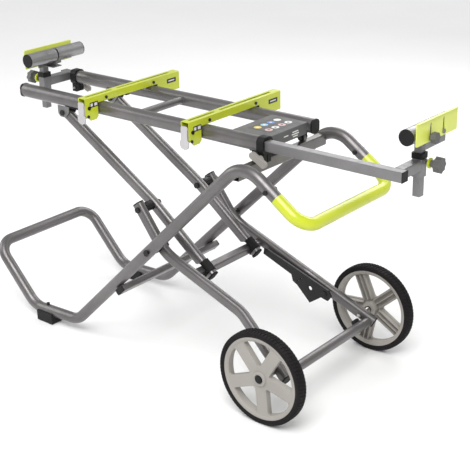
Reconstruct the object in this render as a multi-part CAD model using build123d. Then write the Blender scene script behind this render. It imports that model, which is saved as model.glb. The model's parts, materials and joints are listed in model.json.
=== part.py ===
from build123d import *
import os
from math import cos, hypot, radians, sin

# A folding, wheeled work stand for a bench saw.  Millimetres, +Z up.
# +X runs along the two rails towards the carry handle, +Y to the far side.
# Shapes are drawn with X = 0 at the wheel axle and moved along X on export,
# so that the origin is the bottom centre of the whole stand.

# ---------------------------------------------------------------- driving dimensions
WHEEL_R = 150.0
WHEEL_Z = WHEEL_R
TYRE_IN, TYRE_OUT = 275.0, 314.0        # the tyre's two faces, distance from the middle
RIM_R = 131.7
SPOKES = 5
SPOKE_PHASE = {"near": 5.0, "far": -12.0}

RAIL_Y, RAIL_Z = 117.0, 795.7
RAIL_W, RAIL_H, RAIL_CORNER, RAIL_WALL = 40.0, 45.0, 14.0, 2.2
RAIL_LEFT, RAIL_RIGHT = -1165.3, -114.5
RAIL_MID = (RAIL_LEFT + RAIL_RIGHT) / 2

FRAME_Y, FRAME_R = 224.0, 19.0          # round tube of the handle frame
LEG_Y, LEG_W, LEG_H = 175.0, 28.0, 38.0
ARM_Y, ARM_W, ARM_H = 113.0, 28.0, 38.0
TUBE_WALL = 2.0
LEG_CORNER = 12.0

# linkage pivots (x, z)
MAIN_PIVOT = (-498.0, 400.0)            # handle frame on wheel leg
SHOULDER = (-581.0, 509.0)              # wheel leg on upper arm
ARM_PIVOT = (-970.0, 750.7)             # upper arm under the rails
FRAME_PIVOT = (-155.0, 755.0)           # handle frame under the rails

# handle frame centre line (x, z)
TOP_BEND = (-117.3, 773.0)
FOOT_BEND = (-868.0, 47.0)
HEEL_BEND = (-1088.5, 38.0)
LOOP_END = (-1267.0, 232.0)
HANDLE_END = (99.7, 621.7)
TUBE_SPLIT_X = -990.0                   # where the rear loop plugs into the side tubes
GRIP_START = 0.56                       # share of the top-bend-to-handle run that is grey

# wheel leg centre line
LEG_TOP = (-592.0, 524.0)
LEG_KNEE = (-486.6, 382.5)
LEG_FLARE = (-172.0, 263.0)
LEG_FOOT = (44.0, 131.0)
LEG_FOOT_Y = 236.0
AXLE_TUBE = (30.0, 135.0)

# upper arms: the tip is notched from below, where it rests over the legs' cross bar
ARM_TIP = (-341.0, 319.5)
ARM_TOP_END = 9.0                       # the upper arm past its pivot
STOP_PAD = 2.6                          # rubber under the rails, where the folded arm rests
BAR_ALONG, BAR_DROP = 275.5, 13.0       # the cross bar from the shoulder, along and below the arm
BAR_W, BAR_H = 26.0, 30.0
NOTCH_ROOF = 6.5                        # top of the notch, above the arm's centre line

LEG_BUMPER = (3.5, 136.0)
BRACE_X = -655.0                        # lower brace under the handle frame
HANDLE_BOLT = (-21.8, 706.4)            # joins the carry handle to the frame tube
LUG, EAR = 10.0, 3.0                    # thickness of the beam's lugs and of the clevis ears

# roller supports
ARM_SQ, ARM_SQ_WALL = 30.0, 2.0
POST_SQ = 24.0
SLEEVE_SQ = 31.0
POST_X = {"right": 322.5, "left": -1198.0}
RAIL_SIDE = {"right": -1, "left": 1}
OUTWARD = {"right": 1, "left": -1}
POST_BOTTOM, HEAD_Z = 703.0, 858.0
SLEEVE_BOTTOM, BUSH_Z, SLEEVE_TOP = 760.0, 814.0, 830.0
ROLLER_R, ROLLER_Z = 23.0, 900.0
ROLLER_OFF = {"right": 19.0, "left": 60.0}
ROLLER_HALF = {"right": 107.0, "left": 122.0}
PLATE_HALF, PLATE_TALL = 107.0, 64.0
PLATE_LOW = {"right": 878.0, "left": 864.0}
PLATE_SLOT_Y, PLATE_SLOT = 34.0, 46.0
POST_KNOB_Z = 804.0
PLATE_KNOB_Y, PLATE_KNOB_Z = 34.0, 890.0
PLATE_KNOB_OUT = 24.0                   # the knob's outer face from the stop plate
WING_Z, WING_SCREW_R = 757.0, 4.0

# saw brackets
BRACKET_X = {"left": -801.0, "right": -360.0}
BRACKET_W, SHEET = 32.0, 2.5
BRACKET_TOP = 842.0
BRACKET_NEAR, BRACKET_FAR = -196.0, 250.0
RAIL_TOP = RAIL_Z + RAIL_H / 2
HOOK_Y = 141.0
TOP_SLOTS = ((-180.0, -60.0), (-38.0, 215.0))
SLOT_R = 4.25
LEVER_PIVOT = (-181.0, 808.0)           # (y, z) of the clamp lever's pin
BRACKET_BOLTS = ((-186.0, 781.0), (-103.0, 829.0), (121.0, 829.0))

# release lever, a plate on the inside of the far wheel leg
LEVER_BOLT = (-90.0, 228.0)
LEVER_Y = 148.0

RUN_FIT = 0.05                          # radial clearance of a turning pin
SIDE_GAP = 0.4

os.makedirs("parts", exist_ok=True)
nodes = {}


# ---------------------------------------------------------------- helpers
def add(name, *solids):
    """Keep one or more solids as one named piece."""
    flat = []
    for item in solids:
        flat.extend(item.solids())
    nodes[name] = flat


def at(point, y):
    """A 3-D point from an (x, z) pair and its distance from the middle."""
    return Vector(point[0], y, point[1])


def along(a, b, share):
    return (a[0] + (b[0] - a[0]) * share, a[1] + (b[1] - a[1]) * share)


def box(x0, x1, y0, y1, z0, z1):
    middle = Pos((x0 + x1) / 2, (y0 + y1) / 2, (z0 + z1) / 2)
    return middle * Box(abs(x1 - x0), abs(y1 - y0), abs(z1 - z0))


def rod(point, y0, y1, radius):
    """A cylinder along Y between two distances from the middle."""
    plane = Plane(origin=at(point, min(y0, y1)), x_dir=(1, 0, 0), z_dir=(0, 1, 0))
    return extrude(plane * Circle(radius), abs(y1 - y0))


def rod_x(x0, x1, y, z, radius):
    plane = Plane(origin=(min(x0, x1), y, z), x_dir=(0, 1, 0), z_dir=(1, 0, 0))
    return extrude(plane * Circle(radius), abs(x1 - x0))


def rod_z(x, y, z0, z1, radius):
    return extrude(Plane((x, y, min(z0, z1))) * Circle(radius), abs(z1 - z0))


def hex_y(point, y0, y1, across):
    """A hexagonal head or nut along Y."""
    plane = Plane(origin=at(point, min(y0, y1)), x_dir=(1, 0, 0), z_dir=(0, 1, 0))
    return extrude(plane * RegularPolygon(across / 2, 6, major_radius=False), abs(y1 - y0))


def round_pipe(path, radius, wall=TUBE_WALL):
    start = Plane(origin=path @ 0, z_dir=path % 0)
    outer = sweep(start * Circle(radius), path=path)
    return outer - sweep(start * Circle(radius - wall), path=path)


def flat_pipe(path, width, height, corner, wall=TUBE_WALL):
    """A rounded rectangular tube whose width stays along Y."""
    start = Plane(origin=path @ 0, x_dir=(0, 1, 0), z_dir=path % 0)
    outer = sweep(start * RectangleRounded(width, height, corner), path=path, binormal=(0, 1, 0))
    bore = RectangleRounded(width - 2 * wall, height - 2 * wall, corner - wall)
    return outer - sweep(start * bore, path=path, binormal=(0, 1, 0))


def square_tube(x0, x1, y0, y1, z0, z1, corner, wall, axis):
    """A straight rounded rectangular tube along one axis of the stand."""
    spans = {"x": (y1 - y0, z1 - z0, x1 - x0), "y": (x1 - x0, z1 - z0, y1 - y0),
             "z": (x1 - x0, y1 - y0, z1 - z0)}
    a, b, length = spans[axis]
    planes = {"x": Plane((x0, (y0 + y1) / 2, (z0 + z1) / 2), x_dir=(0, 1, 0), z_dir=(1, 0, 0)),
              "y": Plane(((x0 + x1) / 2, y0, (z0 + z1) / 2), x_dir=(-1, 0, 0), z_dir=(0, 1, 0)),
              "z": Plane(((x0 + x1) / 2, (y0 + y1) / 2, z0))}
    plane = planes[axis]
    section = plane * RectangleRounded(a, b, corner)
    if wall:
        section -= plane * RectangleRounded(a - 2 * wall, b - 2 * wall, corner - wall)
    return extrude(section, length)


def side_plate(outline, y0, y1):
    """A flat plate cut to an (x, z) outline, standing across Y."""
    face = make_face(Polyline(*[at(p, min(y0, y1)) for p in outline], close=True))
    return Solid.extrude(face.face(), Vector(0, abs(y1 - y0), 0))


def cross_plate(outline, x0, x1):
    """A flat plate cut to a (y, z) outline, standing across X."""
    face = make_face(Polyline(*[Vector(min(x0, x1), y, z) for y, z in outline], close=True))
    return Solid.extrude(face.face(), Vector(abs(x1 - x0), 0, 0))


def eye_plate(point, y0, y1, radius, hole, root):
    """A lug with a round end at a pivot and a square root at height root."""
    x, z = point
    lug = rod(point, y0, y1, radius) + box(x - radius, x + radius, y0, y1, min(z, root), max(z, root))
    return lug - rod(point, y0, y1, hole)


def star_knob(x0, x1, y, z, radius, lobes, way):
    """A lobed knob about an X axis."""
    plane = Plane(origin=(x0, y, z), x_dir=(0, 1, 0), z_dir=(way, 0, 0))
    outline = Circle(radius * 0.88)
    for turn in range(lobes):
        angle = radians(turn * 360 / lobes)
        outline += Pos(radius * 0.78 * cos(angle), radius * 0.78 * sin(angle)) * Circle(radius * 0.22)
    return extrude(plane * outline, abs(x1 - x0))


# ---------------------------------------------------------------- rails (the fixed table)
def rail_frame():
    for side, y in (("near", -RAIL_Y), ("far", RAIL_Y)):
        rail = square_tube(RAIL_LEFT, RAIL_RIGHT, y - RAIL_W / 2, y + RAIL_W / 2,
                           RAIL_Z - RAIL_H / 2, RAIL_Z + RAIL_H / 2, RAIL_CORNER, RAIL_WALL, "x")
        add(f"{side}_rail", rail)
    inner = RAIL_Y - RAIL_W / 2
    tie = rod((RAIL_MID, RAIL_Z), -inner, inner, 12.5)
    add("rail_cross_tube", tie - rod((RAIL_MID, RAIL_Z), -inner, inner, 12.5 - TUBE_WALL))

    plugs = []
    for x, y, way in ((RAIL_LEFT, -RAIL_Y, -1), (RAIL_RIGHT, RAIL_Y, 1)):
        cap = square_tube(min(x, x + 6 * way), max(x, x + 6 * way), y - RAIL_W / 2, y + RAIL_W / 2,
                          RAIL_Z - RAIL_H / 2, RAIL_Z + RAIL_H / 2, RAIL_CORNER, 0, "x")
        stub_w, stub_h = RAIL_W / 2 - RAIL_WALL - 0.2, RAIL_H / 2 - RAIL_WALL - 0.2
        stub = square_tube(min(x, x - 18 * way), max(x, x - 18 * way), y - stub_w, y + stub_w,
                           RAIL_Z - stub_h, RAIL_Z + stub_h, RAIL_CORNER - RAIL_WALL - 0.2, 0, "x")
        plugs.append(cap + stub)
    arm_pins, stops = arm_clevises()
    add("rail_plugs_and_stops", *plugs, *stops)
    add("rail_pivot_bolts", *arm_pins, *frame_pivot_brackets())
    add("rail_clamp_collars", clamp_collar("right"), clamp_collar("left"))
    tray()


def clamp_collar(side):
    """The split collar that grips an extension arm where it leaves its rail."""
    way = OUTWARD[side]
    y = RAIL_SIDE[side] * RAIL_Y
    end = RAIL_RIGHT if side == "right" else RAIL_LEFT
    x0, x1 = sorted((end - 21 * way, end + 4 * way))
    collar = square_tube(x0, x1, y - 23.5, y + 23.5, RAIL_Z - 26, RAIL_Z + 26, 16, 0, "x")
    rail_space = square_tube(x0, x1, y - RAIL_W / 2, y + RAIL_W / 2, RAIL_Z - RAIL_H / 2,
                             RAIL_Z + RAIL_H / 2, RAIL_CORNER, 0, "x")
    arm_gap = ARM_SQ / 2 + SIDE_GAP
    lip0, lip1 = sorted((end, end + 4 * way))
    lip = square_tube(lip0, lip1, y - 23.5, y + 23.5, RAIL_Z - 26, RAIL_Z + 26, 16, 0, "x")
    lip -= box(lip0, lip1, y - arm_gap, y + arm_gap, RAIL_Z - arm_gap, RAIL_Z + arm_gap)
    liner0, liner1 = sorted((end, end - 40 * way))
    half_w, half_h = RAIL_W / 2 - RAIL_WALL - 0.1, RAIL_H / 2 - RAIL_WALL - 0.1
    liner = square_tube(liner0, liner1, y - half_w, y + half_w, RAIL_Z - half_h, RAIL_Z + half_h,
                        RAIL_CORNER - RAIL_WALL - 0.1, 0, "x")
    liner -= box(liner0, liner1, y - arm_gap, y + arm_gap, RAIL_Z - arm_gap, RAIL_Z + arm_gap)
    ears = box(x0 + 2, x1 - 2, y - 17, y + 17, 744, RAIL_Z - 24)
    ears -= box(x0 + 2, x1 - 2, y - 2, y + 2, 744, RAIL_Z - 25)
    ears -= rod((wing_x(side), WING_Z), y - 18, y + 18, WING_SCREW_R + RUN_FIT)
    body = (collar - rail_space) + lip + liner
    return body + (ears - rail_space)


def wing_x(side):
    end = RAIL_RIGHT if side == "right" else RAIL_LEFT
    return end - 8.5 * OUTWARD[side]


def wing_knob(side):
    """The wing screw that pinches the collar; it points away from the stand's middle."""
    s = RAIL_SIDE[side]
    x, y = wing_x(side), s * RAIL_Y
    head = y + s * 17.4
    screw = rod((x, WING_Z), y - s * 24, head, WING_SCREW_R)
    boss = rod((x, WING_Z), head, head + s * 16, 11)
    wings = Pos(x, head + s * 13, WING_Z) * Rot(0, 28, 0) * Box(64, 12, 20)
    wings = fillet(wings.edges().filter_by(Axis.Y), 9)
    add(f"{side}_wing_knob", screw + boss + wings)


def arm_clevises():
    """Ears under the rails that hold the tops of the upper arms, and the thin rubber stops beside them."""
    x, z = ARM_PIVOT
    under = RAIL_Z - RAIL_H / 2
    brackets, pins, stops = [], [], []
    gap = ARM_W / 2 + SIDE_GAP
    outer = gap + EAR
    outline = [(x - 22, under + 9), (x + 30, under + 9), (x + 30, z + 4), (x + 14, z - 15),
               (x - 12, z - 15), (x - 22, z - 4)]
    for s in (-1, 1):
        y = s * ARM_Y
        bracket = side_plate(outline, y - outer, y - gap) + side_plate(outline, y + gap, y + outer)
        bracket += box(x + 12, x + 30, y - outer, y + outer, under - 2.5, under + 2)
        bracket -= rail_solid(s)
        brackets.append(bracket - rod(ARM_PIVOT, y - 24, y + 24, 5.0))
        pin = rod(ARM_PIVOT, y - outer, y + outer, 5.0)
        pin += hex_y(ARM_PIVOT, y + s * outer, y + s * (outer + 5), 17)
        pin += hex_y(ARM_PIVOT, y - s * outer, y - s * (outer + 7), 17)
        pins.append(pin)
        pad = box(x + 34, x + 74, y - ARM_W / 2, y + ARM_W / 2, under - STOP_PAD, under + 4)
        stops.append(pad - rail_solid(s))
    add("arm_clevises", *brackets)
    return pins, stops


def frame_pivot_brackets():
    """Ears under the rails' right ends; the handle frame's beam hangs between them."""
    x = FRAME_PIVOT[0]
    under = RAIL_Z - RAIL_H / 2
    brackets, pins = [], []
    gap = LUG / 2 + SIDE_GAP
    outer = gap + 4
    for s in (-1, 1):
        y = s * ARM_Y
        ears = eye_plate(FRAME_PIVOT, y - outer, y - gap, 11, 5.0, under + 2)
        ears += eye_plate(FRAME_PIVOT, y + gap, y + outer, 11, 5.0, under + 2)
        ears += box(x - 20, x + 15, y - outer, y + outer, under - 3, under + 2)
        brackets.append(ears - rail_solid(s))
        pin = rod(FRAME_PIVOT, y - outer, y + outer, 5.0)
        pin += hex_y(FRAME_PIVOT, y - outer, y - outer - 6, 15)
        pin += hex_y(FRAME_PIVOT, y + outer, y + outer + 6, 15)
        pins.append(pin)
    add("frame_pivot_brackets", *brackets)
    return pins


def rail_solid(s):
    """One rail as a filled bar, for cutting what is welded to it."""
    y = s * RAIL_Y
    return square_tube(RAIL_LEFT, RAIL_RIGHT, y - RAIL_W / 2, y + RAIL_W / 2,
                       RAIL_Z - RAIL_H / 2, RAIL_TOP, RAIL_CORNER, 0, "x")


def tray():
    """The moulded cover between the rails' right ends, with its turned-down front."""
    half = RAIL_Y - RAIL_W / 2 - 0.5
    x0, x1, top = -262.0, -124.0, 812.0
    deck = box(x0, x1, -half, half, top - 4, top)
    deck += cross_plate([(-half, top), (half, top), (half - 8, 776), (-half + 8, 776)], x1 - 4, x1)
    deck += box(x0, x0 + 4, -half, half, top - 14, top)
    for y in (-half, half - 4):
        deck += box(x0, x1, y, y + 4, top - 14, top)
    for y in (-45.0, 0.0, 45.0):
        deck += box(x0 + 4, x1 - 4, y - 1.5, y + 1.5, top - 12, top - 4)
    deck = fillet(deck.edges().filter_by(Axis.Y).group_by(Axis.Z)[-1], 2.5)
    deck -= box(RAIL_RIGHT - 21.5, x1 + 10, -half, -93.0, 760, top)
    add("tool_tray", deck)


# ---------------------------------------------------------------- handle frame
def direction(a, b):
    """The unit (x, z) direction from one point to another."""
    run = hypot(b[0] - a[0], b[1] - a[1])
    return ((b[0] - a[0]) / run, (b[1] - a[1]) / run)


def handle_frame():
    grip_start = along(TOP_BEND, HANDLE_END, GRIP_START)
    heel = along(FOOT_BEND, HEEL_BEND, (TUBE_SPLIT_X - FOOT_BEND[0]) / (HEEL_BEND[0] - FOOT_BEND[0]))
    for side, s in (("near", -1), ("far", 1)):
        points = [at(p, s * FRAME_Y) for p in (grip_start, TOP_BEND, FOOT_BEND, heel)]
        tube = round_pipe(FilletPolyline(*points, radius=[88, 85]), FRAME_R)
        tube -= rod(MAIN_PIVOT, s * (FRAME_Y - 20), s * (FRAME_Y + 20), 6.0)
        tube -= rod(HANDLE_BOLT, s * (FRAME_Y - 20), s * (FRAME_Y + 20), 4.0)
        add(f"{side}_frame_tube", tube)

    y = FRAME_Y
    loop_points = [at(heel, -y), at(HEEL_BEND, -y), at(LOOP_END, -y),
                   at(LOOP_END, y), at(HEEL_BEND, y), at(heel, y)]
    add("rear_loop_tube", round_pipe(FilletPolyline(*loop_points, radius=[80, 60, 60, 80]), FRAME_R))

    grip_points = [at(grip_start, -y), at(HANDLE_END, -y), at(HANDLE_END, y), at(grip_start, y)]
    add("carry_handle", round_pipe(FilletPolyline(*grip_points, radius=[58, 58]), FRAME_R + 0.8, 2.8))

    beam_and_brace()
    frame_fasteners()


def beam_and_brace():
    x, z = FRAME_PIVOT
    top = z - 13
    reach = FRAME_Y - 8
    beam = square_tube(x - 10, x + 16, -reach, reach, top - 36, top, 4, TUBE_WALL, "y")
    for s in (-1, 1):
        beam -= frame_solid(s)
    beam = max(beam.solids(), key=lambda part: part.volume)
    for s in (-1, 1):
        y = s * ARM_Y
        beam += eye_plate(FRAME_PIVOT, y - LUG / 2, y + LUG / 2, 11, 5.0 + RUN_FIT, top)
    add("top_cross_beam", beam)

    dx, dz = direction(TOP_BEND, FOOT_BEND)
    share = (BRACE_X - TOP_BEND[0]) / (FOOT_BEND[0] - TOP_BEND[0])
    cx, cz = along(TOP_BEND, FOOT_BEND, share)
    drop = FRAME_R + 11.5
    px, pz = cx - dz * drop, cz + dx * drop
    half = FRAME_Y + 14
    start = Plane(origin=(px, -half, pz), x_dir=(dx, 0, dz), z_dir=(0, 1, 0))
    section = start * RectangleRounded(40, 22, 6) - start * RectangleRounded(36, 18, 4)
    add("lower_brace", extrude(section, 2 * half))
    plugs = []
    for s in (-1, 1):
        start = Plane(origin=(px, s * half, pz), x_dir=(dx, 0, dz), z_dir=(0, s, 0))
        cap = extrude(start * RectangleRounded(40, 22, 6), 4)
        plugs.append(cap + extrude(start * RectangleRounded(35.6, 17.6, 3.8), -14))
    add("brace_end_plugs", *plugs)


def frame_fasteners():
    """Foot pads, the bolts of the pads and handle, and the two main pivots with their spacers."""
    bolts, pivots, pads = [], [], []
    tube_in, tube_out = FRAME_Y - FRAME_R, FRAME_Y + FRAME_R
    leg_in, leg_out = LEG_Y - LEG_W / 2, LEG_Y + LEG_W / 2
    foot_x = -1016.0
    foot_z = along(FOOT_BEND, HEEL_BEND, (foot_x - FOOT_BEND[0]) / (HEEL_BEND[0] - FOOT_BEND[0]))[1]
    for s in (-1, 1):
        tube = frame_solid(s)
        bolt = rod(HANDLE_BOLT, s * (tube_in - 3), s * (tube_out + 2), 4.0)
        bolt += hex_y(HANDLE_BOLT, s * (tube_out - 0.5), s * (tube_out + 6), 13)
        bolt += hex_y(HANDLE_BOLT, s * (tube_in + 0.5), s * (tube_in - 7), 13)
        bolts.append(bolt - tube)

        pivot = rod(MAIN_PIVOT, s * (leg_in - 12), s * (tube_out + 2), 6.0)
        pivot += hex_y(MAIN_PIVOT, s * tube_out, s * (tube_out + 7), 19)
        pivot += hex_y(MAIN_PIVOT, s * (leg_in - SIDE_GAP), s * (leg_in - 10), 19)
        ring = rod(MAIN_PIVOT, s * (leg_out + SIDE_GAP), s * (tube_in + 2), 13)
        pivots += [pivot, ring - rod(MAIN_PIVOT, s * leg_out, s * FRAME_Y, 6.0) - tube]

        y = s * FRAME_Y
        pad = box(foot_x - 38, foot_x + 38, y - 26, y + 26, 0, 40)
        pads.append(chamfer(pad.edges().group_by(Axis.Z)[0], 4) - tube)
        bolts.append(rod_z(foot_x - 4, y, foot_z + FRAME_R - 1, foot_z + FRAME_R + 7, 6) - tube)
    add("foot_pads", *pads)
    add("frame_bolts", *bolts)
    add("main_pivot_hardware", *pivots)


def frame_solid(s):
    """One side of the handle frame as a filled bar, for cutting what is seated on it."""
    points = [at(p, s * FRAME_Y) for p in (HANDLE_END, TOP_BEND, FOOT_BEND, HEEL_BEND, LOOP_END)]
    path = FilletPolyline(*points, radius=[88, 85, 80])
    body = sweep(Plane(origin=path @ 0, z_dir=path % 0) * Circle(FRAME_R), path=path)
    body -= rod(MAIN_PIVOT, s * (FRAME_Y - 30), s * (FRAME_Y + 30), 6.0)
    return body - rod(HANDLE_BOLT, s * (FRAME_Y - 30), s * (FRAME_Y + 30), 4.0)


# ---------------------------------------------------------------- wheel frame
def leg_path(s):
    points = [at(LEG_TOP, s * LEG_Y), at(LEG_KNEE, s * LEG_Y), at(LEG_FLARE, s * LEG_Y),
              at(LEG_FOOT, s * LEG_FOOT_Y)]
    return FilletPolyline(*points, radius=[150, 150])


def wheel_frame():
    inner = LEG_Y - LEG_W / 2
    for side, s in (("near", -1), ("far", 1)):
        leg = flat_pipe(leg_path(s), LEG_W, LEG_H, LEG_CORNER)
        leg -= rod(MAIN_PIVOT, s * (LEG_Y - 20), s * (LEG_Y + 20), 6.0 + RUN_FIT)
        leg -= rod(SHOULDER, s * (LEG_Y - 20), s * (LEG_Y + 20), 5.0)
        leg -= rod((0, WHEEL_Z), s * 190, s * 262, 8.0)
        add(f"{side}_wheel_leg", leg)

    dx, dz = direction(LEG_KNEE, LEG_FLARE)
    x, z = arm_point(BAR_ALONG, -BAR_DROP)
    start = Plane(origin=(x, -inner, z), x_dir=(dx, 0, dz), z_dir=(0, 1, 0))
    section = start * RectangleRounded(BAR_W, BAR_H, 5) - start * RectangleRounded(BAR_W - 4, BAR_H - 4, 3)
    cross_bar = extrude(section, 2 * inner)

    reach = LEG_FOOT_Y - 4
    tube = rod(AXLE_TUBE, -reach, reach, 16) - rod(AXLE_TUBE, -reach, reach, 16 - TUBE_WALL)
    for s in (-1, 1):
        tube -= leg_solid(s)
    add("leg_cross_tubes", cross_bar, max(tube.solids(), key=lambda part: part.volume))

    leg_fittings()
    axles()


def leg_solid(s):
    """One wheel leg as a filled bar, for cutting what is seated on it."""
    path = leg_path(s)
    start = Plane(origin=path @ 0, x_dir=(0, 1, 0), z_dir=path % 0)
    return sweep(start * RectangleRounded(LEG_W, LEG_H, LEG_CORNER), path=path, binormal=(0, 1, 0))


def leg_fittings():
    """End plugs, the round bumpers under the lower ends, and the bolts of shoulder and lever."""
    fittings, hardware = [], []
    arm_face = ARM_Y + ARM_W / 2 + SIDE_GAP
    inner, outer = LEG_Y - LEG_W / 2, LEG_Y + LEG_W / 2
    for s in (-1, 1):
        path = leg_path(s)
        for end, way in ((0, -1), (1, 1)):
            start = Plane(origin=path @ end, x_dir=(0, 1, 0), z_dir=(path % end) * way)
            cap = extrude(start * RectangleRounded(LEG_W, LEG_H, LEG_CORNER), 4)
            cap += extrude(start * RectangleRounded(LEG_W - 4.4, LEG_H - 4.4, LEG_CORNER - 2.2), -16)
            fittings.append(cap - rod(SHOULDER, s * (LEG_Y - 20), s * (LEG_Y + 20), 5.0))
        bumper = rod(LEG_BUMPER, s * (LEG_Y + 6), s * (LEG_Y + 28), 9) - leg_solid(s)
        fittings.append(max(bumper.solids(), key=lambda part: part.volume))
        fittings.append(axle_cap(s))

        bolt = rod(SHOULDER, s * arm_face, s * (outer + 1), 5.0)
        hardware.append(bolt + hex_y(SHOULDER, s * outer, s * (outer + 6.5), 17))
        spacer = rod(SHOULDER, s * arm_face, s * inner, 16)
        hardware.append(spacer - rod(SHOULDER, s * arm_face, s * LEG_Y, 5.0))
    add("leg_caps_and_bumpers", *fittings)
    add("leg_pivot_hardware", *hardware, lever_bolt())


def axle_cap(s):
    cap = rod((0, WHEEL_Z), s * (TYRE_OUT - 4), s * (TYRE_OUT + 2), 12)
    return fillet(cap.edges().group_by(Axis.Y)[0 if s < 0 else -1], 2)


def axles():
    """Stub axles through the legs, each with a collar between leg and wheel."""
    stubs = []
    for s in (-1, 1):
        stub = rod((0, WHEEL_Z), s * 212, s * (TYRE_OUT - 4), 8.0)
        collar = rod((0, WHEEL_Z), s * 246, s * 262, 14) - leg_solid(s)
        stubs.append(stub + max(collar.solids(), key=lambda part: part.volume))
    add("wheel_axles", *stubs)


def wheel(side):
    s = -1 if side == "near" else 1
    centre = (0, WHEEL_Z)
    width = TYRE_OUT - TYRE_IN
    plane = Plane(origin=(0, s * TYRE_IN, WHEEL_Z), x_dir=(1, 0, 0), z_dir=(0, s, 0))
    tyre = extrude(plane * (Circle(WHEEL_R) - Circle(RIM_R)), width)
    tyre = fillet(tyre.edges().filter_by(GeomType.CIRCLE).sort_by(lambda e: e.radius)[-2:], 9)
    add(f"{side}_tyre", tyre)

    barrel = extrude(plane * (Circle(RIM_R) - Circle(RIM_R - 5)), width)
    lip = extrude(plane.offset(width - 7) * (Circle(RIM_R) - Circle(RIM_R - 13)), 6)
    hub = rod(centre, s * (TYRE_IN - 10), s * (TYRE_OUT - 7), 23)
    rim = barrel + lip + hub
    web = plane.offset(width - 13)
    for number in range(SPOKES):
        angle = SPOKE_PHASE[side] + number * 360 / SPOKES
        if s > 0:
            angle = -angle
        turn = web * Rot(0, 0, angle)
        reach = RIM_R - 4
        plate = extrude(turn * Pos(reach / 2, 0) * Rectangle(reach, 31), 6)
        rim += plate
        for edge in (-13.5, 0, 13.5):
            rib = extrude(turn * Pos(reach / 2, edge) * Rectangle(reach, 3.5), -16)
            rim += rib
    rim -= rod(centre, s * (TYRE_IN - 12), s * (TYRE_OUT + 1), 8.0 + RUN_FIT)
    add(f"{side}_rim", rim)


# ---------------------------------------------------------------- upper arms
def arm_point(run, rise):
    """An (x, z) point of the upper arm's lower half, by its distance from the shoulder."""
    dx, dz = direction(SHOULDER, ARM_TIP)
    return (SHOULDER[0] + dx * run - dz * rise, SHOULDER[1] + dz * run + dx * rise)


def arm_notch(roof, y0, y1):
    """The space that the cross bar leaves through; the side towards the shoulder slopes away."""
    near_end, far_end = BAR_ALONG - 19, BAR_ALONG + 18.5
    low = -ARM_H
    outline = [(near_end, roof), (far_end, roof), (far_end, low), (near_end - (roof - low) * 0.65, low)]
    return side_plate([arm_point(run, rise) for run, rise in outline], y0, y1)


def upper_arms():
    dx, dz = direction(ARM_PIVOT, SHOULDER)
    top = (ARM_PIVOT[0] - dx * ARM_TOP_END, ARM_PIVOT[1] - dz * ARM_TOP_END)
    rubbers, nuts = [], []
    for side, s in (("near", -1), ("far", 1)):
        y = s * ARM_Y
        path = FilletPolyline(*[at(p, y) for p in (top, SHOULDER, ARM_TIP)], radius=[400])
        arm = flat_pipe(path, ARM_W, ARM_H, LEG_CORNER)
        arm -= rod(ARM_PIVOT, y - 20, y + 20, 5.0 + RUN_FIT)
        arm -= rod(SHOULDER, y - 20, y + 20, 5.0)
        arm -= arm_notch(NOTCH_ROOF, y - 20, y + 20)
        add(f"{side}_upper_arm", arm)

        start = Plane(origin=path @ 1, x_dir=(0, 1, 0), z_dir=path % 1)
        cap = extrude(start * RectangleRounded(ARM_W + 2, ARM_H + 2, LEG_CORNER), 5)
        cap += extrude(start * RectangleRounded(ARM_W - 4.4, ARM_H - 4.4, LEG_CORNER - 2.2), -9)
        saddle = extrude(start.offset(-52) * (RectangleRounded(ARM_W + 8, ARM_H + 8, LEG_CORNER + 4)
                                              - RectangleRounded(ARM_W, ARM_H, LEG_CORNER)), 42)
        saddle -= arm_notch(NOTCH_ROOF, y - 20, y + 20)
        rubbers += [cap, saddle]
        outer, inner = y + s * ARM_W / 2, y - s * ARM_W / 2
        nuts.append(rod(SHOULDER, outer, inner - s * 3, 5.0) + hex_y(SHOULDER, inner, inner - s * 9, 17))
    add("arm_end_rubbers", *rubbers)
    add("shoulder_nuts", *nuts)


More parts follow.
